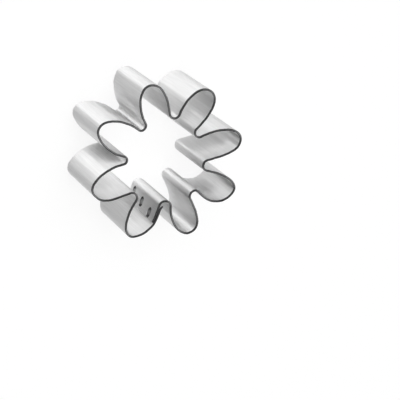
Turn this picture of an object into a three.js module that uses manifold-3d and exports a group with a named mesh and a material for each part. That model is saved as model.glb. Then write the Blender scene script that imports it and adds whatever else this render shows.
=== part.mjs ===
// A daisy cutter for biscuit dough: one stainless strip bent to eight petals, its ends lapped and locked by
// three pressed stitches.
// Millimetres, +Z up. The cutting edge stands on z = 0, and the outline's box is centred on the Z axis.
import * as THREE from "three";
import { mergeVertices } from "three/addons/utils/BufferGeometryUtils.js";
import Module from "manifold-3d";

const wasm = await Module();
wasm.setup();

// The strip
const stripWidth = 24;
const stripThickness = 0.6;

// The regular flower: where the strip's middle line passes the petals' tips and the valleys between them, how
// far a tip spreads to either side, the radius of a valley's round bend, the degrees that it turns to either
// side of the valley's point, and how far the wall keeps the bend's direction
const petalReach = 25.5;
const petalSpread = 4.2;
const valleyReach = 13.1;
const valleyRadius = 1.6;
const valleyTurn = 80;
const wallSpread = 5.5;

// The bends are made by hand, so each sits a little off the regular flower, counter-clockwise from +X: turned
// in degrees about the centre, further out in millimetres and leaning in degrees to one side. A tip is fuller
// in millimetres, and a valley is rounder in millimetres and bent further in degrees.
const petals = [
  { turn: -3.5, out: 0, fuller: 0, lean: -6 },
  { turn: -4.5, out: 0.4, fuller: 0.1, lean: -5 },
  { turn: -2.5, out: 0.2, fuller: -0.4, lean: -5 },
  { turn: -1.5, out: 0.3, fuller: -0.8, lean: -6 },
  { turn: 4, out: -0.3, fuller: 0.4, lean: 20 },
  { turn: 6, out: 0.1, fuller: 0.9, lean: 29 },
  { turn: 4, out: 0.2, fuller: -0.3, lean: 2 },
  { turn: 0.5, out: 0.4, fuller: 0.1, lean: -8 },
];
const valleys = [
  { turn: 1, out: -0.8, rounder: 0, lean: -7, further: 1 },
  { turn: -2, out: 1, rounder: 0.1, lean: 1, further: -4 },
  { turn: -4, out: 0.5, rounder: -0.1, lean: 5, further: -1 },
  { turn: -1, out: 0.2, rounder: -0.3, lean: 4, further: 0 },
  { turn: 6, out: 0.9, rounder: 0.2, lean: -11, further: -9 },
  { turn: 7.5, out: -0.1, rounder: 0.2, lean: -12, further: 2 },
  { turn: 1.5, out: 0.8, rounder: 0.2, lean: -9, further: 6 },
  { turn: -4.5, out: -0.5, rounder: 0.2, lean: 9, further: -2 },
];

// The lap of the strip's two ends, on the wall that runs from the tip of one petal to the next valley's bend
const lapPetal = 5;
const lapLength = 6;
const lapToBend = 0;
const lapGap = 0.1;
const joggleLength = 3;
const lapSpring = 0.5;
const lapSpringLength = 1.6;

// The stitches: straps pressed through slots in both layers of the lap, and flattened behind them
const stitchNames = ["lap_stitch_lower", "lap_stitch_middle", "lap_stitch_upper"];
const stitchWidth = 2.4;
const stitchToEdge = 4.1;
const stitchDrop = 0.9;
const stitchToLapEnd = 0.2;
const stitchSlant = 1.1;
const stitchRamp = 0.55;
const stitchFloorDepth = 0.6;
const stitchProud = 0.35;
const stitchLip = 0.2;
const stitchClearance = 0.1;
const stitchEndGap = 0.3;

// Facets along a wall or a bend, and along the round end of a stitch
const wallFacets = 18;
const roundFacets = 8;

// What these sizes settle
const pitch = 360 / petals.length;
const lapShift = (stripThickness + lapGap) / 2;
const lapFace = lapShift + stripThickness / 2;
const stitchLength = lapLength - 2 * (stitchToLapEnd + stitchSlant);

function polar(angle, distance) {
  return new THREE.Vector2(Math.cos(angle), Math.sin(angle)).multiplyScalar(distance);
}

// A petal's tip: its point on the middle line, and its handle along the strip there
function placeTip(index) {
  const { turn, out, fuller, lean } = petals[index % petals.length];
  const place = THREE.MathUtils.degToRad(index * pitch + turn);
  const heading = place + Math.PI / 2 + THREE.MathUtils.degToRad(lean);
  return { point: polar(place, petalReach + out), handle: polar(heading, petalSpread + fuller) };
}

// A valley's round bend: the points where the strip enters and leaves it, its directions there, and the length
// of the handles that draw it round
function placeValley(index) {
  const { turn, out, rounder, lean, further } = valleys[index];
  const place = THREE.MathUtils.degToRad((index + 0.5) * pitch + turn);
  const heading = place + Math.PI / 2 + THREE.MathUtils.degToRad(lean);
  const sweep = THREE.MathUtils.degToRad(valleyTurn + further);
  const radius = valleyRadius + rounder;
  const centre = polar(place, valleyReach + out).add(polar(heading - Math.PI / 2, radius));
  const roundness = (4 / 3) * Math.tan(sweep / 2) * radius;
  const end = (direction) => ({
    point: polar(direction + Math.PI / 2, radius).add(centre),
    along: polar(direction, 1),
  });
  return { enter: end(heading + sweep), leave: end(heading - sweep), roundness };
}

// A cubic curve between two points, with its handles along the strip
function drawCurve(from, leaving, arriving, to) {
  return new THREE.CubicBezierCurve(from, from.clone().add(leaving), to.clone().sub(arriving), to);
}

// The middle line, counter-clockwise: from each tip a wall to the valley's bend, the bend, and a wall to the
// next tip
function drawMiddleLine() {
  return petals.flatMap((_, index) => {
    const tip = placeTip(index);
    const next = placeTip(index + 1);
    const { enter, leave, roundness } = placeValley(index);
    const stretched = ({ along }, length) => along.clone().multiplyScalar(length);
    return [
      drawCurve(tip.point, tip.handle, stretched(enter, wallSpread), enter.point),
      drawCurve(enter.point, stretched(enter, roundness), stretched(leave, roundness), leave.point),
      drawCurve(leave.point, stretched(leave, wallSpread), next.handle, next.point),
    ];
  });
}

// Stations along part of a curve: a point on it, and the direction out of the flower
function walk(curve, from, to) {
  return Array.from({ length: wallFacets + 1 }, (_, step) => {
    const place = THREE.MathUtils.lerp(from, to, step / wallFacets);
    const along = curve.getTangent(place);
    return { point: curve.getPoint(place), out: new THREE.Vector2(along.y, -along.x) };
  });
}

// How far the middle line is pushed out of the flower, by the distance to each end of the strip: the inner
// layer passes inside the lap's middle and the outer layer outside it, and the outer end springs a little away
function pushOut(toInnerEnd, toOuterEnd) {
  const lapStop = lapLength + joggleLength;
  const inner = 1 - THREE.MathUtils.smoothstep(toInnerEnd, lapLength, lapStop);
  const outer = 1 - THREE.MathUtils.smoothstep(toOuterEnd, lapLength, lapStop);
  const sprung = Math.max(0, 1 - toOuterEnd / lapSpringLength);
  return lapShift * (outer - inner) + lapSpring * sprung ** 2;
}

// The strip in plan: once round the flower from its inner end to its outer end, with its thickness on both
// sides
function drawStrip(middleLine, lapWall, innerEnd, outerEnd) {
  const lapIndex = middleLine.indexOf(lapWall);
  const others = [...middleLine.slice(lapIndex + 1), ...middleLine.slice(0, lapIndex)];
  const stretches = [walk(lapWall, innerEnd, 1), ...others.map((curve) => walk(curve, 0, 1))];
  const stations = [...stretches.flatMap((stretch) => stretch.slice(0, -1)), ...walk(lapWall, 0, outerEnd)];

  let length = 0;
  const travelled = stations.map(({ point }, index) => {
    length += index ? point.distanceTo(stations[index - 1].point) : 0;
    return length;
  });
  const face = (side) =>
    stations.map(({ point, out }, index) => {
      const push = pushOut(travelled[index], length - travelled[index]);
      return point.clone().addScaledVector(out, push + (side * stripThickness) / 2);
    });
  return new THREE.Shape([...face(1), ...face(-1).reverse()]);
}

// A slot's outline, with round ends
function stadium(length, width) {
  const radius = width / 2;
  const straight = length / 2 - radius;
  const quarter = Math.PI / 2;
  const shape = new THREE.Shape();
  shape.absarc(straight, 0, radius, -quarter, quarter, false);
  shape.absarc(-straight, 0, radius, quarter, 3 * quarter, false);
  shape.closePath();
  return shape;
}

function extrude(shape, depth) {
  return new THREE.ExtrudeGeometry(shape, { depth, bevelEnabled: false, curveSegments: roundFacets });
}

// A prism through the lap, in the lap's own frame: X along the strip, Y into the petal and Z up
function lapPrism(shape, inward, outward) {
  return extrude(shape, inward + outward).translate(0, 0, -inward).rotateX(Math.PI / 2);
}

function toSolid(geometry) {
  const bare = geometry.clone();
  bare.deleteAttribute("normal");
  bare.deleteAttribute("uv");
  const merged = mergeVertices(bare);
  const vertProperties = merged.getAttribute("position").array;
  const triVerts = new Uint32Array(merged.index.array);
  return new wasm.Manifold(new wasm.Mesh({ numProp: 3, vertProperties, triVerts }));
}

function toMesh(name, solid, material) {
  const { vertProperties, triVerts } = solid.getMesh();
  const geometry = new THREE.BufferGeometry();
  geometry.setAttribute("position", new THREE.BufferAttribute(vertProperties, 3));
  geometry.setIndex(new THREE.BufferAttribute(triVerts, 1));
  geometry.computeVertexNormals();
  const mesh = new THREE.Mesh(geometry, material);
  mesh.name = name;
  return mesh;
}

// A strap that ramps down from the inner layer's face to a flat floor, with a head behind the outer layer that
// is wider than the slot
function pressStitch() {
  const half = stitchLength / 2 - stitchEndGap;
  const flat = half - stitchRamp;
  const floor = lapFace - stitchFloorDepth;
  const back = -lapFace - stitchProud;
  const profile = new THREE.Shape([
    new THREE.Vector2(-half, lapFace),
    new THREE.Vector2(-half, lapFace - stripThickness),
    new THREE.Vector2(-flat, back),
    new THREE.Vector2(flat, back),
    new THREE.Vector2(half, lapFace - stripThickness),
    new THREE.Vector2(half, lapFace),
    new THREE.Vector2(flat, floor),
    new THREE.Vector2(-flat, floor),
  ]);
  const strapWidth = stitchWidth - 2 * stitchClearance;
  const strap = extrude(profile, strapWidth).translate(0, 0, -strapWidth / 2);
  const slotFill = lapPrism(stadium(2 * half, strapWidth), lapFace, lapFace + stitchProud);
  const headShape = stadium(stitchWidth + 2 * stitchLip, 2 * flat);
  const head = lapPrism(headShape, -lapFace - stitchClearance, lapFace + stitchProud).rotateY(Math.PI / 2);
  return toSolid(strap).intersect(toSolid(slotFill)).add(toSolid(head));
}

// Steel of the strip and its stitches
const steel = new THREE.MeshStandardMaterial({ color: 0xc9cbcd, roughness: 0.3, metalness: 1 });

const middleLine = drawMiddleLine();
const lapWall = middleLine[3 * lapPetal];
const lapWallLength = lapWall.getLength();
const placeOnWall = (toBend) => lapWall.getUtoTmapping(1 - toBend / lapWallLength);
const outerEnd = placeOnWall(lapToBend);
const innerEnd = placeOnWall(lapToBend + lapLength);
const lapMiddle = placeOnWall(lapToBend + lapLength / 2);

// The lap's own frame carries the stitches
const lap = new THREE.Group();
const lapPoint = lapWall.getPoint(lapMiddle);
lap.position.set(lapPoint.x, lapPoint.y, 0);
lap.rotation.z = lapWall.getTangent(lapMiddle).angle();
lap.updateMatrix();

const slotReach = lapFace + lapSpring;
let band = toSolid(extrude(drawStrip(middleLine, lapWall, innerEnd, outerEnd), stripWidth));
stitchNames.forEach((name, index) => {
  const rank = index - (stitchNames.length - 1) / 2;
  const rise = (stripWidth - 2 * stitchToEdge) / (stitchNames.length - 1);
  const stitch = toMesh(name, pressStitch(), steel);
  stitch.position.set(-rank * stitchSlant, 0, stripWidth / 2 - stitchDrop + rank * rise);
  stitch.updateMatrix();
  const slot = lapPrism(stadium(stitchLength, stitchWidth), slotReach, slotReach);
  band = band.subtract(toSolid(slot.applyMatrix4(stitch.matrix).applyMatrix4(lap.matrix)));
  lap.add(stitch);
});

const cutter = new THREE.Group();
cutter.name = "daisy_cutter";
cutter.add(toMesh("cutter_band", band, steel), lap);
const middle = new THREE.Box3().setFromObject(cutter).getCenter(new THREE.Vector3());
cutter.position.set(-middle.x, -middle.y, 0);

export default cutter;
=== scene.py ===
"""A daisy cutter for biscuit dough, dressed for its picture.

One steel strip is bent to eight petals, three pressed stitches lock its lapped ends, and a plain studio
stands round them. Metres, +Z up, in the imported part's own frame: the bends repeat the part's own sizes, so
that the strip stands where the part's solid stands.
"""

import math

import bpy
import numpy as np
from mathutils import Matrix, Vector


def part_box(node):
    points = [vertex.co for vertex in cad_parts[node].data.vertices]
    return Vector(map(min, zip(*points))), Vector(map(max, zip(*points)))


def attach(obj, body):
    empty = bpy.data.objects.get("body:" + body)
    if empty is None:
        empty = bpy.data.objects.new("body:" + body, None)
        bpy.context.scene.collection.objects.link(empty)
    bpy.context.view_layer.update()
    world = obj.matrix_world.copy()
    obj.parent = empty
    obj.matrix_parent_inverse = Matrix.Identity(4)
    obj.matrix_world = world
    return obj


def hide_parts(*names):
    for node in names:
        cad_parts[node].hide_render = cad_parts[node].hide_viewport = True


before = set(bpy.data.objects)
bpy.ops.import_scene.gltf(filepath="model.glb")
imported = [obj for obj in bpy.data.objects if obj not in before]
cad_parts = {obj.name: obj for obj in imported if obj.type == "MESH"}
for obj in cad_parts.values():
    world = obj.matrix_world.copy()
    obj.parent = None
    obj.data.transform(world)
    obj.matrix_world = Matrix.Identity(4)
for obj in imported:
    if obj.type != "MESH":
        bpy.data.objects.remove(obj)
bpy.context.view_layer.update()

bl_info = {
    "name": "Daisy Cutter",
    "version": (1, 0, 0),
    "blender": (4, 5, 0),
    "location": "View3D > Sidebar > Daisy Cutter",
    "description": "Bends the strip of a daisy cutter, presses the stitches of its lap and sets the stage",
    "category": "Add Mesh",
}

MM = 0.001

# The bends are made by hand, so each sits a little off the regular daisy. Counter-clockwise from +X, they
# are turned in degrees about the centre, further out in millimetres, fuller at a tip or rounder in a valley
# in millimetres, leaning in degrees to one side, and in a valley bent further in degrees
PETALS = (
    (-3.5, 0, 0, -6),
    (-4.5, 0.4, 0.1, -5),
    (-2.5, 0.2, -0.4, -5),
    (-1.5, 0.3, -0.8, -6),
    (4, -0.3, 0.4, 20),
    (6, 0.1, 0.9, 29),
    (4, 0.2, -0.3, 2),
    (0.5, 0.4, 0.1, -8),
)
VALLEYS = (
    (1, -0.8, 0, -7, 1),
    (-2, 1, 0.1, 1, -4),
    (-4, 0.5, -0.1, 5, -1),
    (-1, 0.2, -0.3, 4, 0),
    (6, 0.9, 0.2, -11, -9),
    (7.5, -0.1, 0.2, -12, 2),
    (1.5, 0.8, 0.2, -9, 6),
    (-4.5, -0.5, 0.2, 9, -2),
)
CURVES_PER_PETAL = 3

# The petal whose wall carries the lap, and the part's stitches with their places on it, counted from the
# middle one
LAP_PETAL = 5
STITCHES = (("lap_stitch_lower", -1), ("lap_stitch_middle", 0), ("lap_stitch_upper", 1))

# Faint marks of the bending rolls across the strip: depth and spacing in millimetres, and phase in radians
BENDING_MARKS = (
    (0.004, 0.83, 1.3),
    (0.006, 1.27, 5.2),
    (0.008, 1.9, 0.4),
    (0.014, 3.1, 2.1),
    (0.020, 4.7, 4.0),
)

# How finely the shapes are drawn
CURVE_STEPS = 400
STATIONS = 1600
CORNER_POINTS = 5
FACE_POINTS = 7
ROUND_POINTS = 24
STRAP_RINGS = 32
SLOT_RINGS = 16

# How far to either side of a point the strip's heading is measured
HEADING_STEP = 0.1 * MM

# Powers of sine and cosine in the superellipses of a strap's outline and of its depth
OUTLINE_POWER = 2 / 3
DEPTH_POWER = 1 / 3

# Shares of the sheet's thickness under a strap's floor between which its sheared sides, with their painted
# shade, set in
SHEARED_DEPTH = (0.1, 0.3)

# Angles over which two faces meet in a crease
STRIP_CREASE = math.radians(35)
STITCH_CREASE = math.radians(50)

# The pieces' map, and its heights between which the painted shade and the rougher finish of sheared walls
# set in
UV_NAME = "strip"
SHEARED_MAP = (-0.2, -0.6)

# Distances from the strip's edges between which the painted shade of the sheared corners and of the flats
# sets in, with the flats' grain through the sheet, and how much less they are for the painted shade at the
# cutting edge. The shade stands in for the dark room that the edges mirror
CORNER_SHADE_REACH = (0.6 * MM, 0.25 * MM)
SHEARED_FLAT = (0.012 * MM, 0.003 * MM)
NARROWER_SHADE_AT_CUTTING_EDGE = 0.45 * MM

# How far from the strip's ends their burnish fades out, in chamfer lengths
BURNISH_FADE = 1.2

# The turn that sets the steel's reflections across its grain, as a share of a full one
QUARTER_TURN = 0.25

# The rolling grain along the strip: its scale along and across the map, and what it does to the steel
GRAIN_SCALE = (3, 260, 1)
GRAIN_DETAIL = 5
GRAIN_ROUGHNESS = 0.05
GRAIN_BUMP = 0.1

# The streaks that bending left across the strip, the part of their noise that shows, and how dark they are
# painted: their relief is real, their darker colour is a painted reflection
STREAK_SCALE = (90, 1.5, 1)
STREAK_DETAIL = 4
STREAK_SPAN = (0.3, 0.65)
PAINTED_STREAK_SHADE = 0.87
STREAK_BUMP = 0.3
STRIP_RELIEF = 0.01 * MM

# The clouded bloom on the pressed stitches
BLOOM_SCALE = 1800
BLOOM_DETAIL = 4
BLOOM_SHADE = 0.85
BLOOM_ROUGHNESS = (0.32, 0.5)
BLOOM_BUMP = 0.2
BLOOM_RELIEF = 0.02 * MM

NOISE_ROUGHNESS = 0.6

# The room's panels round the compass: azimuths in degrees, counter-clockwise from +X, and the stage's levels
# there
PANELS = (
    (-179, "dark"),
    (-138, "dark"),
    (-128, "back_level"),
    (-100, "back_level"),
    (-90, "dark"),
    (-40, "dark"),
    (-25, "side_level"),
    (25, "side_level"),
    (40, "key_level"),
    (118, "key_level"),
    (128, "dark"),
    (179, "dark"),
)

# Sines of the elevations between which the panels fade in above the horizon and fade out overhead
PANELS_FOOT = (0.55, 0.75)
PANELS_HEAD = (0.96, 1.0)


def length(name, description, default):
    """A length property, with its default in millimetres."""
    return bpy.props.FloatProperty(
        name=name,
        description=description,
        default=default * MM,
        precision=5,
        subtype="DISTANCE",
        unit="LENGTH",
    )


def angle(name, description, default):
    """An angle property, with its default in degrees."""
    return bpy.props.FloatProperty(
        name=name, description=description, default=math.radians(default), subtype="ANGLE", unit="ROTATION"
    )


def tint(name, description, default):
    """A colour property, in linear red, green and blue."""
    return bpy.props.FloatVectorProperty(
        name=name, description=description, default=default, size=3, min=0, max=1, subtype="COLOR"
    )


def share(name, description, default):
    """A property that runs from nought to one."""
    return bpy.props.FloatProperty(
        name=name, description=description, default=default, min=0, max=1, subtype="FACTOR"
    )


def level(name, description, default):
    """A light level, where 1 is white."""
    return bpy.props.FloatProperty(name=name, description=description, default=default, min=0)


class DAISY_PG_strip(bpy.types.PropertyGroup):
    """Sizes and finish of the bent strip."""

    width: length("Width", "From the cutting edge to the pressing edge", 24)
    thickness: length("Thickness", "Of the sheet", 0.6)
    rolled_corner: length("Rolled corner", "Radius that shearing leaves on the outer face's corners", 0.16)
    sharp_corner: length("Sharp corner", "Radius that shearing leaves on the inner face's corners", 0.06)
    end_chamfer: length("End chamfer", "Of the corners at the strip's two cut ends", 0.25)
    petal_reach: length("Petal reach", "From the centre to the middle line at a petal's tip", 25.5)
    petal_spread: length("Petal spread", "How far a petal's tip spreads to either side", 4.2)
    valley_reach: length("Valley reach", "From the centre to the middle line in a valley", 13.1)
    valley_radius: length("Valley radius", "Of a valley's round bend", 1.6)
    valley_turn: angle("Valley turn", "How far the bend turns to either side of the valley's point", 80)
    wall_spread: length("Wall spread", "How far a wall keeps the bend's direction", 5.5)
    lap_length: length("Lap length", "Where the two ends lie on each other", 6)
    lap_to_bend: length("Lap to bend", "From the outer end to the next valley's bend", 0)
    lap_gap: length("Lap gap", "Between the two layers", 0.1)
    joggle_length: length("Joggle length", "In which each end steps aside for the other", 3)
    lap_spring: length("Lap spring", "How far the outer end stands off", 0.5)
    lap_spring_length: length("Lap spring length", "In which the outer end stands off", 1.6)
    colour: tint("Steel", "Colour of the strip's faces", (0.95, 0.95, 0.95))
    # Painted shade: the two colours below darken the edges' flats and corners, standing in for the dark room
    # that they mirror
    painted_edge_shade: tint("Sheared edge", "Colour of the flat of the strip's sheared edges", (0.13, 0.13, 0.132))
    painted_corner_shade: tint("Sheared corner", "Colour of the edges' corners", (0.025, 0.025, 0.026))
    roughness: share("Roughness", "Of the rolled faces", 0.4705)
    edge_roughness: share("Edge roughness", "Of the sheared edges and the slots' walls", 0.5)
    end_roughness: share("End roughness", "Of the burnished chamfers at the strip's two ends", 0.12)
    grain: share("Grain", "How much the rolling grain draws reflections out across the strip", 1)


class DAISY_PG_stitch(bpy.types.PropertyGroup):
    """Sizes and finish of the pressed stitches."""

    width: length("Width", "Of a stitch's slot", 2.4)
    to_edge: length("To edge", "From the strip's edges to the outer stitches, before the drop", 4.1)
    drop: length("Drop", "How far the row of stitches sits below the strip's middle", 0.9)
    to_lap_end: length("To lap end", "From the row of slots to the ends of the lap", 0.2)
    slant: length("Slant", "How far each stitch is set along the strip from the next", 1.1)
    ramp: length("Ramp", "In which the strap comes down to its floor", 0.55)
    floor_depth: length("Floor depth", "From the inner face to the strap's floor", 0.6)
    proud: length("Proud", "How far the strap stands out behind the outer layer", 0.35)
    lip: length("Lip", "How far the strap spreads behind the outer layer", 0.2)
    clearance: length("Clearance", "Between the strap's joined sides and its slot", 0.02)
    end_gap: length("End gap", "Between the strap's sheared ends and its slot", 0.75)
    rolled_lip: length("Rolled lip", "How far the punch rounds the slot's mouth", 0.14)
    # Painted shade: the straps' grey stands in for the shade in their recess
    colour: tint("Pressed steel", "Colour of the straps", (0.6, 0.605, 0.61))
    # Painted shade: the grey of the straps' sides and the slots' walls stands in for the shade down in the
    # slots
    painted_slot_shade: tint("Sheared wall", "Colour of the straps' sides and slots' walls", (0.32, 0.32, 0.324))


class DAISY_PG_stage(bpy.types.PropertyGroup):
    """Floor, room, lamp and camera."""

    floor_colour: tint("Floor", "Colour of the floor", (0.9, 0.9, 0.9))
    floor_size: length("Floor size", "Of the square floor", 8000)
    floor_drop: length("Floor drop", "From the cutting edge down to the floor", 0.02)
    floor_lift: share("Floor lift", "How much of the floor's white shows whatever shade lies on it", 0.85)
    dark: level("Dark", "Brightness of the room where it has no panel", 0.04)
    key_level: level("Key level", "Brightness of the large panel", 3.3)
    side_level: level("Side level", "Brightness of the panel at the key's side", 1.2)
    back_level: level("Back level", "Brightness of the panel across from the key", 1.4)
    lamp_level: level("Lamp level", "Brightness of the lamp over the floor", 8)
    lamp_azimuth: angle("Lamp azimuth", "Of the lamp, counter-clockwise from +X", 123)
    lamp_elevation: angle("Lamp elevation", "Of the lamp over the floor", 89)
    lamp_distance: length("Lamp distance", "From the cutter to the lamp", 1000)
    lamp_size: length("Lamp size", "Of the square lamp", 450)
    azimuth: angle("Azimuth", "Of the camera, which looks along +Y at nought", -147.02)
    elevation: angle("Elevation", "Of the camera over the floor", 60.69)
    roll: angle("Roll", "Of the camera about its line of sight", 128.89)
    distance: length("Distance", "From the camera to the point that it looks at", 551.23)
    aim: bpy.props.FloatVectorProperty(
        name="Aim",
        description="Point that the camera looks at",
        default=(10.919 * MM, -21.922 * MM, 11.998 * MM),
        precision=5,
        subtype="TRANSLATION",
        unit="LENGTH",
    )
    lens: bpy.props.FloatProperty(
        name="Lens", description="Focal length, on a sensor 36 mm wide", default=153, unit="CAMERA"
    )


def ease(value, low, high):
    """Nought up to low, one from high on, and a smooth step between them."""
    step = np.clip((value - low) / (high - low), 0, 1)
    return step * step * (3 - 2 * step)


def signed_power(value, power):
    """A value's size raised to a power, with the value's own sign."""
    return np.sign(value) * np.abs(value) ** power


def on_circle(place, radius):
    """Points in plan at these angles and radii."""
    return np.stack((np.cos(place), np.sin(place)), axis=-1) * radius[:, None]


def bend_curves(strip):
    """Control points of the strip's middle line in plan, as [curve, control point, xy].

    A tip stands at its reach from the centre, with its handle across that radius. A valley's bend is an arc
    about a centre outside the strip, drawn by a cubic curve whose handles are the radius times
    4/3 tan(sweep / 2). From each tip one cubic curve runs to the valley's bend, one goes round it, and one
    runs to the next tip.
    """
    petals = len(PETALS)
    pitch = 2 * np.pi / petals
    turn, out, fuller, lean = np.array(PETALS).T
    place = np.arange(petals) * pitch + np.radians(turn)
    tip = on_circle(place, strip.petal_reach + out * MM)
    handle = on_circle(place + np.pi / 2 + np.radians(lean), strip.petal_spread + fuller * MM)
    next_tip = np.roll(tip, -1, axis=0)
    arriving = np.roll(tip - handle, -1, axis=0)

    turn, out, rounder, lean, further = np.array(VALLEYS).T
    place = (np.arange(petals) + 0.5) * pitch + np.radians(turn)
    heading = place + np.pi / 2 + np.radians(lean)
    radius = strip.valley_radius + rounder * MM
    sweep = strip.valley_turn + np.radians(further)
    centre = on_circle(place, strip.valley_reach + out * MM) + on_circle(heading - np.pi / 2, radius)
    enter = centre + on_circle(heading + sweep + np.pi / 2, radius)
    leave = centre + on_circle(heading - sweep + np.pi / 2, radius)
    entering = on_circle(heading + sweep, np.ones(petals))
    leaving = on_circle(heading - sweep, np.ones(petals))
    roundness = (4 / 3 * np.tan(sweep / 2) * radius)[:, None]

    inwards = np.stack((tip, tip + handle, enter - strip.wall_spread * entering, enter), axis=1)
    bend = np.stack((enter, enter + roundness * entering, leave - roundness * leaving, leave), axis=1)
    outwards = np.stack((leave, leave + strip.wall_spread * leaving, arriving, next_tip), axis=1)
    return np.stack((inwards, bend, outwards), axis=1).reshape(-1, 4, 2)


class MiddleLine:
    """The strip's middle line in plan, measured along its length from the tip of the petal that has the lap.

    It runs counter-clockwise once round the daisy and over the lap's wall again. The strip starts on that
    wall at its inner end and stops there on the second pass, one lap length further on, at its outer end.
    The line is set so that its box has the same middle as the part's own strip.
    """

    def __init__(self, strip):
        curves = bend_curves(strip)
        first = CURVES_PER_PETAL * LAP_PETAL
        order = np.arange(first, first + len(curves) + 1) % len(curves)
        t = np.linspace(0, 1, CURVE_STEPS, endpoint=False)
        weights = np.stack(((1 - t) ** 3, 3 * t * (1 - t) ** 2, 3 * t**2 * (1 - t), t**3))
        line = np.einsum("kt,ckx->ctx", weights, curves[order]).reshape(-1, 2)
        low, high = (np.array(corner)[:2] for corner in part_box("cutter_band"))
        self.line = line + (low + high) / 2 - (line.min(axis=0) + line.max(axis=0)) / 2
        steps = np.linalg.norm(np.diff(line, axis=0), axis=1)
        self.travelled = np.concatenate(((0,), np.cumsum(steps)))
        wall = self.travelled[CURVE_STEPS]
        once_round = self.travelled[CURVE_STEPS * len(curves)]
        self.inner_end = wall - strip.lap_to_bend - strip.lap_length
        self.outer_end = once_round + wall - strip.lap_to_bend
        self.lap_middle = wall - strip.lap_to_bend - strip.lap_length / 2

    def points(self, along):
        """Points at these lengths."""
        return np.stack([np.interp(along, self.travelled, axis) for axis in self.line.T], axis=-1)

    def at(self, along):
        """Points at these lengths, and the unit vectors along the strip there."""
        heading = self.points(along + HEADING_STEP) - self.points(along - HEADING_STEP)
        return self.points(along), heading / np.linalg.norm(heading, axis=-1, keepdims=True)


def push_out(strip, to_inner_end, to_outer_end):
    """How far the strip is pushed outwards from its middle line, by the distance to each of its ends.

    Along the lap the inner layer passes half a step inside the middle line and the outer layer half a step
    outside it, each with a smooth joggle, and the outer end springs off along a parabola.
    """
    step = (strip.thickness + strip.lap_gap) / 2
    stop = strip.lap_length + strip.joggle_length
    inner = 1 - ease(to_inner_end, strip.lap_length, stop)
    outer = 1 - ease(to_outer_end, strip.lap_length, stop)
    sprung = np.clip(1 - to_outer_end / strip.lap_spring_length, 0, None)
    return step * (outer - inner) + strip.lap_spring * sprung**2


def bending_marks(strip, along, to_inner_end, to_outer_end):
    """A faint waviness along the strip, as a sum of sines, that fades out towards the lap."""
    depth, spacing, phase = np.array(BENDING_MARKS).T
    waves = np.sin(along[:, None] * 2 * np.pi / (spacing * MM) + phase) @ (depth * MM)
    stop = strip.lap_length + strip.joggle_length
    return waves * ease(np.minimum(to_inner_end, to_outer_end), stop, 2 * stop)


def strip_section(strip):
    """The strip's cross-section as points (outwards, up), counter-clockwise: a rectangle with round corners.

    Shearing rounds the two corners of the outer face more than those of the inner face.
    """
    half = strip.thickness / 2
    turn = np.linspace(0, np.pi / 2, CORNER_POINTS)
    radius = np.repeat((strip.rolled_corner, strip.sharp_corner), 2)[:, None]
    outwards = np.array((1, 1, -1, -1))[:, None] * (half - radius)
    up = np.where(np.array((0, 1, 1, 0))[:, None], strip.width - radius, radius)
    turn = np.array((-1, 0, 1, 2))[:, None] * np.pi / 2 + turn
    corners = np.stack((outwards + radius * np.cos(turn), up + radius * np.sin(turn)), axis=-1)
    between = np.linspace(0, 1, FACE_POINTS + 2)[1:-1, None]
    outer_face = corners[0, -1] + (corners[1, 0] - corners[0, -1]) * between
    inner_face = corners[2, -1] + (corners[3, 0] - corners[2, -1]) * between
    return np.concatenate((corners[0], outer_face, corners[1], corners[2], inner_face, corners[3]))


def stadium(long, wide):
    """Outline of a slot with round ends, counter-clockwise, as points (along, up)."""
    radius = wide / 2
    turn = np.linspace(-np.pi / 2, np.pi / 2, ROUND_POINTS)
    right = np.stack((long / 2 - radius + radius * np.cos(turn), radius * np.sin(turn)), axis=-1)
    return np.concatenate((right, -right))


def oval(long, tall):
    """Outline of a strap, counter-clockwise, as points (along, up): a superellipse."""
    turn = np.linspace(0, 2 * np.pi, 2 * ROUND_POINTS, endpoint=False)
    outline = signed_power(np.stack((np.cos(turn), np.sin(turn)), axis=-1), OUTLINE_POWER)
    return outline * np.array((long, tall)) / 2


def ring_mesh(name, points, uv):
    """A closed mesh from a grid of points [ring, place, xyz]: rings joined by quads, with a cap at each end.

    The corners' places on the map come as [ring, place, uv], with one more place where each ring closes.
    """
    rings, places = points.shape[:2]
    here = np.arange(rings * places).reshape(rings, places)
    beside = np.roll(here, -1, axis=1)
    quads = np.stack((here[:-1], beside[:-1], beside[1:], here[1:]), axis=-1).reshape(-1, 4)
    quad_uv = np.stack((uv[:-1, :-1], uv[:-1, 1:], uv[1:, 1:], uv[1:, :-1]), axis=2).reshape(-1, 2)
    faces = quads.tolist() + [here[0][::-1].tolist(), here[-1].tolist()]
    corner_uv = np.concatenate((quad_uv, uv[0, :-1][::-1], uv[-1, :-1]))
    mesh = bpy.data.meshes.new(name)
    mesh.from_pydata(points.reshape(-1, 3), [], faces)
    mesh.uv_layers.new(name=UV_NAME).data.foreach_set("uv", corner_uv.astype(np.float32).ravel())
    return mesh


def add_object(name, mesh, material=None):
    """An object at the origin for a mesh that is drawn in its place."""
    if material:
        mesh.materials.append(material)
    piece = bpy.data.objects.new(name, mesh)
    bpy.context.scene.collection.objects.link(piece)
    return piece


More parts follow.
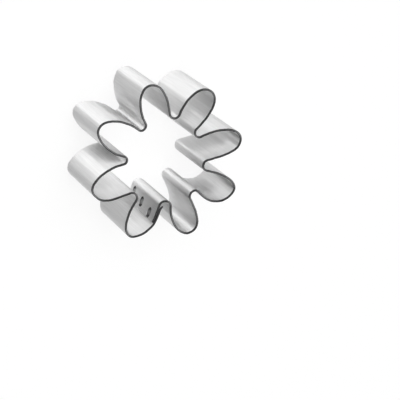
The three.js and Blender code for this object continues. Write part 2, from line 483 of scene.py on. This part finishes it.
def sweep_strip(strip):
    """The strip without its slots: the cross-section carried along the middle line and set out from it.

    At the two ends the section thins evenly, which chamfers the corners of the cut.
    """
    line = MiddleLine(strip)
    plain = np.linspace(line.inner_end + strip.end_chamfer, line.outer_end - strip.end_chamfer, STATIONS)
    along = np.concatenate(((line.inner_end,), plain, (line.outer_end,)))
    thinning = np.ones(len(along))
    thinning[[0, -1]] = 1 - 2 * strip.end_chamfer / strip.thickness
    point, heading = line.at(along)
    outwards = np.stack((heading[:, 1], -heading[:, 0]), axis=-1)
    to_inner_end = along - line.inner_end
    to_outer_end = line.outer_end - along
    push = push_out(strip, to_inner_end, to_outer_end)
    push += bending_marks(strip, along, to_inner_end, to_outer_end)
    section = strip_section(strip)
    offset = push[:, None] + thinning[:, None] * section[:, 0]
    plan = point[:, None] + outwards[:, None] * offset[..., None]
    height = np.broadcast_to(section[:, 1], plan.shape[:2])
    points = np.concatenate((plan, height[..., None]), axis=-1)

    closed = np.concatenate((section, section[:1]))
    across = np.concatenate(((0,), np.cumsum(np.linalg.norm(np.diff(closed, axis=0), axis=1))))
    uv = np.stack(np.meshgrid(to_inner_end, across, indexing="ij"), axis=-1) / strip.width
    return ring_mesh("cutter_strip", points[:, ::-1], uv[:, ::-1])


def lap_to_frame(strip, local):
    """Points of the lap's own frame, X along the strip, Y into the petal and Z up, in the part's frame."""
    line = MiddleLine(strip)
    point, heading = line.at(np.array([line.lap_middle]))
    inwards = np.stack((-heading[:, 1], heading[:, 0]), axis=-1)
    plan = point + local[..., :1] * heading + local[..., 1:2] * inwards
    return np.concatenate((plan, local[..., 2:]), axis=-1)


def stitch_place(strip, stitch, rank):
    """Middle of a stitch in the lap's own frame: the row runs up the wall and slants back along it."""
    rise = strip.width / 2 - stitch.to_edge
    return np.array((-rank * stitch.slant, 0, strip.width / 2 - stitch.drop + rank * rise))


def slot_length(strip, stitch):
    """Length of a slot, from the lap and the slant of the row."""
    return strip.lap_length - 2 * (stitch.to_lap_end + stitch.slant)


def lap_face(strip):
    """Distance from the middle of the lap to the outer face of either layer."""
    return strip.thickness + strip.lap_gap / 2


def ring_uv(strip, points, sheared):
    """Map of a ring mesh in the lap: along the strip, and below nought where the steel is sheared."""
    along = points[..., 0] + strip.lap_length / 2
    plain = np.stack((along / strip.width, points[..., 1] / strip.width - sheared), axis=-1)
    return np.concatenate((plain, plain[:, :1]), axis=1)


def slot_mesh(strip, stitch, rank):
    """A punch for one slot: its outline carried through both layers, wider at the inner face's mouth."""
    face = lap_face(strip)
    reach = face + strip.lap_spring
    depth = np.linspace(-reach, reach, SLOT_RINGS)
    mouth = face - stitch.rolled_lip + np.linspace(0, stitch.rolled_lip, SLOT_RINGS)
    depth = np.sort(np.concatenate((depth, mouth)))[::-1]
    grow = stitch.rolled_lip * ease(depth, face - stitch.rolled_lip, face + stitch.rolled_lip)
    outline = stadium(slot_length(strip, stitch), stitch.width)
    outwards = outline / np.linalg.norm(outline, axis=-1, keepdims=True)
    ring = outline + outwards * grow[:, None, None]
    through = np.broadcast_to(depth[:, None], ring.shape[:2])
    local = np.stack((ring[..., 0], through, ring[..., 1]), axis=-1)
    uv = ring_uv(strip, local, ease(face - through, 0, stitch.rolled_lip))
    points = lap_to_frame(strip, local + stitch_place(strip, stitch, rank))
    return ring_mesh("slot_punch", points, uv)


def strap_mesh(name, strip, stitch, rank):
    """One pressed stitch: rings of a superellipse between the strap's floor and its back.

    Towards its top and bottom the floor ramps up to the inner face. What lies behind the outer layer spreads
    over the slot by the lip. The sides in between are sheared.
    """
    face = lap_face(strip)
    slot = slot_length(strip, stitch)
    long = slot - 2 * stitch.end_gap
    tall = stitch.width - 2 * stitch.clearance
    turn = np.linspace(0, np.pi, STRAP_RINGS + 2)[1:-1]
    size = np.sin(turn) ** DEPTH_POWER
    through = (1 - signed_power(np.cos(turn), DEPTH_POWER)) / 2
    x, z = np.moveaxis(oval(long, tall) * size[:, None, None], -1, 0)
    floor = face - stitch.floor_depth * (1 - ease(np.abs(z), tall / 2 - stitch.ramp, tall / 2))
    back = -face - stitch.proud
    y = floor + (back - floor) * through[:, None]
    spread = ease(-y, face, face + stitch.proud / 2)
    x = x * (1 + spread * ((slot + 2 * stitch.lip) / long - 1))
    z = z * (1 + spread * ((stitch.width + 2 * stitch.lip) / tall - 1))
    sheared = ease((floor - y) / strip.thickness, *SHEARED_DEPTH)
    sheared = sheared * (1 - ease(-y, face + stitch.proud / 2, face + stitch.proud))
    local = np.stack((x, y, z), axis=-1)
    uv = ring_uv(strip, local, sheared)
    return ring_mesh(name, lap_to_frame(strip, local + stitch_place(strip, stitch, rank)), uv)


def punch(piece, punches):
    """Cuts the punches out of a piece and keeps the result as its mesh."""
    for number, mesh in enumerate(punches):
        tool = add_object(f"punch_{number}", mesh)
        cut = piece.modifiers.new("slot", "BOOLEAN")
        cut.operation = "DIFFERENCE"
        cut.solver = "EXACT"
        cut.object = tool
        depsgraph = bpy.context.evaluated_depsgraph_get()
        result = bpy.data.meshes.new_from_object(piece.evaluated_get(depsgraph))
        piece.modifiers.remove(cut)
        blank = piece.data
        piece.data = result
        bpy.data.meshes.remove(blank)
        bpy.data.objects.remove(tool)
        bpy.data.meshes.remove(mesh)


def smooth(mesh, crease):
    """Smooth shading, with creases where faces meet at more than this angle."""
    mesh.shade_smooth()
    mesh.set_sharp_from_angle(angle=crease)


def feed(tree, socket, value):
    """Links another node's output to a socket, or sets a plain value on it."""
    if isinstance(value, bpy.types.NodeSocket):
        tree.links.new(value, socket)
    else:
        socket.default_value = value


def add_node(tree, kind, inputs=None, **settings):
    """A shader node with these settings, and these values or other nodes' outputs on its sockets."""
    node = tree.nodes.new(kind)
    for name, value in settings.items():
        setattr(node, name, value)
    for name, value in (inputs or {}).items():
        feed(tree, node.inputs[name], value)
    return node


def new_material(name):
    """A material with an empty node tree, and that tree."""
    material = bpy.data.materials.new(name)
    material.use_nodes = True
    material.node_tree.nodes.clear()
    return material, material.node_tree


def show(tree, surface):
    """Makes a shader's output the surface of its material."""
    add_node(tree, "ShaderNodeOutputMaterial", {"Surface": surface})


def calculate(tree, operation, first, second=0):
    """What a maths node makes of two values, each a number or another node's output."""
    return add_node(tree, "ShaderNodeMath", {0: first, 1: second}, operation=operation).outputs["Value"]


def carry(tree, value, span, onto=(0, 1), **settings):
    """A value carried from one span onto another, and held at its ends."""
    inputs = {"Value": value, "From Min": span[0], "From Max": span[1], "To Min": onto[0], "To Max": onto[1]}
    return add_node(tree, "ShaderNodeMapRange", inputs, **settings).outputs["Result"]


def mix(tree, kind, factor, first, second):
    """A mix of two values of one kind, each a plain one or another node's output."""
    inputs = {"Factor": factor, "A": first, "B": second}
    return add_node(tree, "ShaderNodeMix", inputs, data_type=kind).outputs["Result"]


def opaque(colour, shade=1):
    """A colour at full cover, with each of its parts times the shade."""
    return (*(shade * part for part in colour), 1)


def one_of(tree, vector, axis):
    """One of a vector's three numbers."""
    return add_node(tree, "ShaderNodeSeparateXYZ", {"Vector": vector}).outputs[axis]


def on_map(tree):
    """A place on a piece's own map."""
    return add_node(tree, "ShaderNodeUVMap", uv_map=UV_NAME).outputs["UV"]


def in_frame(tree):
    """A place in the part's frame."""
    return add_node(tree, "ShaderNodeTexCoord").outputs["Object"]


def noise(tree, place, scale, detail):
    """Clouds at this many to a unit of the place."""
    inputs = {"Vector": place, "Scale": scale, "Detail": detail, "Roughness": NOISE_ROUGHNESS}
    return add_node(tree, "ShaderNodeTexNoise", inputs).outputs["Fac"]


def stretched_noise(tree, place, scale, detail):
    """Clouds drawn out along one direction of a map."""
    stretched = add_node(tree, "ShaderNodeMapping", {"Vector": place, "Scale": scale})
    return noise(tree, stretched.outputs["Vector"], 1, detail)


def bump(tree, height, strength, distance, **under):
    """Normals of a relief, on top of another one's where that is given as Normal."""
    inputs = {"Strength": strength, "Distance": distance, "Height": height, **under}
    return add_node(tree, "ShaderNodeBump", inputs).outputs["Normal"]


def sheared_mask(tree, place):
    """Factor that is one where a piece's map lies below nought, on the walls that shearing left."""
    return carry(tree, one_of(tree, place, "Y"), SHEARED_MAP)


def margin_mask(tree, place, whole, reach, less=0):
    """Factor that rises from nought to one between two distances from either end of a measure.

    The measure runs from nought to the whole, and at nought both distances are less by the same length.
    """
    start, stop = reach
    half = (whole + less) / 2
    away = calculate(tree, "ABSOLUTE", calculate(tree, "SUBTRACT", place, whole - half))
    return carry(tree, away, (half - start, half - stop))


def ends_mask(tree, place, strip):
    """Factor that is one on the chamfers of the strip's two ends."""
    line = MiddleLine(strip)
    whole = (line.outer_end - line.inner_end) / strip.width
    chamfer = strip.end_chamfer / strip.width
    return margin_mask(tree, one_of(tree, place, "X"), whole, (BURNISH_FADE * chamfer, chamfer))


def strip_finish(strip, stitch):
    """Rolled stainless: a fine grain along the strip, and streaks across it, with the relief that the
    bending left and a painted darker reflection.

    The edges' corners are painted nearly black and their flats dark grey, as painted shade for the dark room
    that they mirror; the flats are a little rougher, with the grain through the sheet.
    The slots' walls are painted grey, as painted shade in the slots, and the chamfers at the strip's ends
    are burnished.
    """
    material, tree = new_material("rolled_steel")
    place = on_map(tree)
    grain = stretched_noise(tree, place, GRAIN_SCALE, GRAIN_DETAIL)
    streaks = stretched_noise(tree, place, STREAK_SCALE, STREAK_DETAIL)
    height = one_of(tree, in_frame(tree), "Z")
    # Masks of the painted shade on the edges' corners and flats; the flats' mask also turns the grain
    corner = margin_mask(tree, height, strip.width, CORNER_SHADE_REACH, NARROWER_SHADE_AT_CUTTING_EDGE)
    flat = margin_mask(tree, height, strip.width, SHEARED_FLAT)
    # Mask of the slots' walls, which get painted shade and a rougher finish
    slot_wall = sheared_mask(tree, place)
    sheared = calculate(tree, "MAXIMUM", corner, slot_wall)

    # Painted reflection: the streaks are darkened in colour, as well as given their relief
    streak = carry(tree, streaks, STREAK_SPAN)
    colour = mix(tree, "RGBA", streak, opaque(strip.colour, PAINTED_STREAK_SHADE), opaque(strip.colour))
    # Painted shade: near black on the edges' corners and dark grey on their flats
    colour = mix(tree, "RGBA", corner, colour, opaque(strip.painted_corner_shade))
    colour = mix(tree, "RGBA", flat, colour, opaque(strip.painted_edge_shade))
    # Painted shade: grey on the slots' walls, for the shade down in the slots
    colour = mix(tree, "RGBA", slot_wall, colour, opaque(stitch.painted_slot_shade))

    least = strip.roughness - GRAIN_ROUGHNESS
    most = strip.roughness + GRAIN_ROUGHNESS
    roughness = carry(tree, grain, (0, 1), (least, most))
    roughness = mix(tree, "FLOAT", ends_mask(tree, place, strip), roughness, strip.end_roughness)
    roughness = mix(tree, "FLOAT", sheared, roughness, strip.edge_roughness)

    along = add_node(tree, "ShaderNodeTangent", direction_type="UV_MAP", uv_map=UV_NAME).outputs["Tangent"]
    through = add_node(tree, "ShaderNodeVectorMath", {0: along, 1: (0, 0, 1)}, operation="CROSS_PRODUCT")
    fine = bump(tree, grain, GRAIN_BUMP, STRIP_RELIEF)
    inputs = {
        "Metallic": 1,
        "Base Color": colour,
        "Roughness": roughness,
        "Anisotropic": strip.grain,
        "Anisotropic Rotation": QUARTER_TURN,
        "Tangent": mix(tree, "VECTOR", flat, along, through.outputs["Vector"]),
        "Normal": bump(tree, streaks, STREAK_BUMP, STRIP_RELIEF, Normal=fine),
    }
    show(tree, add_node(tree, "ShaderNodeBsdfPrincipled", inputs).outputs["BSDF"])
    return material


def stitch_finish(stitch):
    """Pressed stainless: painted darker than the strip, as painted shade of its recess, with the clouded
    bloom of the punch, and sheared sides painted grey, as painted shade in the slots.
    """
    material, tree = new_material("pressed_steel")
    bloom = noise(tree, in_frame(tree), BLOOM_SCALE, BLOOM_DETAIL)
    # Painted shade: grey on the straps' sheared sides, for the shade down in the slots
    sheared = sheared_mask(tree, on_map(tree))
    # Painted shade: the straps' darker grey stands in for the shade in their recess; the bloom's mottling is
    # their own
    pressed = mix(tree, "RGBA", bloom, opaque(stitch.colour, BLOOM_SHADE), opaque(stitch.colour))
    inputs = {
        "Metallic": 1,
        "Base Color": mix(tree, "RGBA", sheared, pressed, opaque(stitch.painted_slot_shade)),
        "Roughness": carry(tree, bloom, (0, 1), BLOOM_ROUGHNESS),
        "Normal": bump(tree, bloom, BLOOM_BUMP, BLOOM_RELIEF),
    }
    show(tree, add_node(tree, "ShaderNodeBsdfPrincipled", inputs).outputs["BSDF"])
    return material


def floor_finish(stage):
    """A matt pale floor, part of whose white glows for the camera and for what mirrors the floor."""
    material, tree = new_material("pale_floor")
    ray = add_node(tree, "ShaderNodeLightPath").outputs
    mirrored = calculate(tree, "MAXIMUM", ray["Is Glossy Ray"], ray["Is Transmission Ray"])
    shown = calculate(tree, "MAXIMUM", ray["Is Camera Ray"], mirrored)
    matt = add_node(tree, "ShaderNodeBsdfDiffuse", {"Color": opaque(stage.floor_colour)})
    glow = add_node(tree, "ShaderNodeEmission")
    inputs = {
        "Fac": calculate(tree, "MULTIPLY", shown, stage.floor_lift),
        1: matt.outputs["BSDF"],
        2: glow.outputs["Emission"],
    }
    show(tree, add_node(tree, "ShaderNodeMixShader", inputs).outputs["Shader"])
    return material


def dress(piece, node):
    """Ties a piece to the part's root body and hides the part's own mesh for the node that it stands for."""
    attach(piece, "root")
    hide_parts(node)


class DAISY_OT_bend_strip(bpy.types.Operator):
    """Bend the strip to its petals, lap its ends and punch the slots"""

    bl_idname = "daisy.bend_strip"
    bl_label = "Bend Strip"

    def execute(self, context):
        strip = context.scene.daisy_strip
        stitch = context.scene.daisy_stitch
        piece = add_object("cutter_strip", sweep_strip(strip), strip_finish(strip, stitch))
        punch(piece, [slot_mesh(strip, stitch, rank) for _, rank in STITCHES])
        smooth(piece.data, STRIP_CREASE)
        dress(piece, "cutter_band")
        return {"FINISHED"}


class DAISY_OT_press_stitches(bpy.types.Operator):
    """Press the three stitches that lock the lap"""

    bl_idname = "daisy.press_stitches"
    bl_label = "Press Stitches"

    def execute(self, context):
        strip = context.scene.daisy_strip
        stitch = context.scene.daisy_stitch
        finish = stitch_finish(stitch)
        for node, rank in STITCHES:
            name = node.replace("lap_stitch", "pressed_stitch")
            piece = add_object(name, strap_mesh(name, strip, stitch, rank), finish)
            smooth(piece.data, STITCH_CREASE)
            dress(piece, node)
        return {"FINISHED"}


class DAISY_OT_set_stage(bpy.types.Operator):
    """Set out the floor, the room, the lamp and the camera"""

    bl_idname = "daisy.set_stage"
    bl_label = "Set Stage"

    def execute(self, context):
        stage = context.scene.daisy_stage
        self.lay_floor(stage)
        self.set_panels(context.scene, stage)
        self.hang_lamp(context.scene, stage)
        self.place_camera(context.scene, stage)
        context.scene.view_settings.view_transform = "Standard"
        return {"FINISHED"}

    def lay_floor(self, stage):
        """A square floor just under the cutting edge."""
        corners = np.array(((-1, -1), (1, -1), (1, 1), (-1, 1))) * stage.floor_size / 2
        points = np.concatenate((corners, np.full((4, 1), -stage.floor_drop)), axis=1)
        mesh = bpy.data.meshes.new("floor")
        mesh.from_pydata(points, [], [(0, 1, 2, 3)])
        add_object("floor", mesh, floor_finish(stage))

    def set_panels(self, scene, stage):
        """A dark room with a band of soft panels round it, high above the cutter.

        The panels' levels are stops of a colour ramp that runs round the compass, counter-clockwise from -X.
        The two stops that a new ramp has at its ends are taken out.
        """
        world = bpy.data.worlds.new("room")
        world.use_nodes = True
        tree = world.node_tree
        direction = add_node(tree, "ShaderNodeTexCoord").outputs["Generated"]
        compass = add_node(tree, "ShaderNodeTexGradient", {"Vector": direction}, gradient_type="RADIAL")
        panels = add_node(tree, "ShaderNodeValToRGB", {"Fac": compass.outputs["Fac"]})
        levels = [getattr(stage, name) for _, name in PANELS]
        brightest = max(levels)
        stops = panels.color_ramp.elements
        for (turn, _), value in zip(PANELS, levels):
            stops.new((turn + 180) / 360).color = (*(value / brightest,) * 3, 1)
        stops.remove(stops[0])
        stops.remove(stops[-1])

        height = one_of(tree, direction, "Z")
        foot = carry(tree, height, PANELS_FOOT, interpolation_type="SMOOTHSTEP")
        head = carry(tree, height, PANELS_HEAD, (brightest, 0), interpolation_type="SMOOTHSTEP")
        background = tree.nodes["Background"]
        feed(tree, background.inputs["Color"], panels.outputs["Color"])
        feed(tree, background.inputs["Strength"], calculate(tree, "MULTIPLY", foot, head))
        scene.world = world

    def hang_lamp(self, scene, stage):
        """A square lamp that faces the cutter. Its power is its brightness times its area times pi."""
        lamp = bpy.data.lights.new("top_lamp", "AREA")
        lamp.shape = "SQUARE"
        lamp.size = stage.lamp_size
        lamp.energy = stage.lamp_level * math.pi * stage.lamp_size**2
        flat = math.cos(stage.lamp_elevation)
        towards = Vector(
            (
                math.cos(stage.lamp_azimuth) * flat,
                math.sin(stage.lamp_azimuth) * flat,
                math.sin(stage.lamp_elevation),
            )
        )
        stand = bpy.data.objects.new("top_lamp", lamp)
        stand.location = towards * stage.lamp_distance
        stand.rotation_euler = towards.to_track_quat("Z", "Y").to_euler()
        stand.visible_camera = False
        scene.collection.objects.link(stand)

    def place_camera(self, scene, stage):
        """The camera at its distance from the aim, turned to its azimuth, tilted down and rolled."""
        camera = bpy.data.cameras.new("camera")
        camera.lens = stage.lens
        stand = bpy.data.objects.new("camera", camera)
        turned = Matrix.Rotation(stage.azimuth, 4, "Z")
        tilted = Matrix.Rotation(math.pi / 2 - stage.elevation, 4, "X")
        rolled = Matrix.Rotation(stage.roll, 4, "Z")
        back = Matrix.Translation((0, 0, stage.distance))
        stand.matrix_world = Matrix.Translation(stage.aim) @ turned @ tilted @ rolled @ back
        scene.collection.objects.link(stand)
        scene.camera = stand


class DAISY_PT_sidebar(bpy.types.Panel):
    """The cutter's sizes and the steps that build it"""

    bl_idname = "DAISY_PT_sidebar"
    bl_label = "Daisy Cutter"
    bl_space_type = "VIEW_3D"
    bl_region_type = "UI"
    bl_category = "Daisy Cutter"

    def draw(self, context):
        for step, settings in (
            (DAISY_OT_bend_strip, context.scene.daisy_strip),
            (DAISY_OT_press_stitches, context.scene.daisy_stitch),
            (DAISY_OT_set_stage, context.scene.daisy_stage),
        ):
            box = self.layout.box()
            for name in settings.__annotations__:
                box.prop(settings, name)
            box.operator(step.bl_idname)


CLASSES = (
    DAISY_PG_strip,
    DAISY_PG_stitch,
    DAISY_PG_stage,
    DAISY_OT_bend_strip,
    DAISY_OT_press_stitches,
    DAISY_OT_set_stage,
    DAISY_PT_sidebar,
)


def register():
    """Makes the classes known to Blender and hangs the settings on the scene."""
    for cls in CLASSES:
        bpy.utils.register_class(cls)
    bpy.types.Scene.daisy_strip = bpy.props.PointerProperty(type=DAISY_PG_strip)
    bpy.types.Scene.daisy_stitch = bpy.props.PointerProperty(type=DAISY_PG_stitch)
    bpy.types.Scene.daisy_stage = bpy.props.PointerProperty(type=DAISY_PG_stage)


def unregister():
    """Takes the settings off the scene and the classes out of Blender."""
    del bpy.types.Scene.daisy_stage
    del bpy.types.Scene.daisy_stitch
    del bpy.types.Scene.daisy_strip
    for cls in reversed(CLASSES):
        bpy.utils.unregister_class(cls)


def main():
    """Builds the cutter and its stage."""
    register()
    bpy.ops.daisy.bend_strip()
    bpy.ops.daisy.press_stitches()
    bpy.ops.daisy.set_stage()


if __name__ == "__main__":
    main()
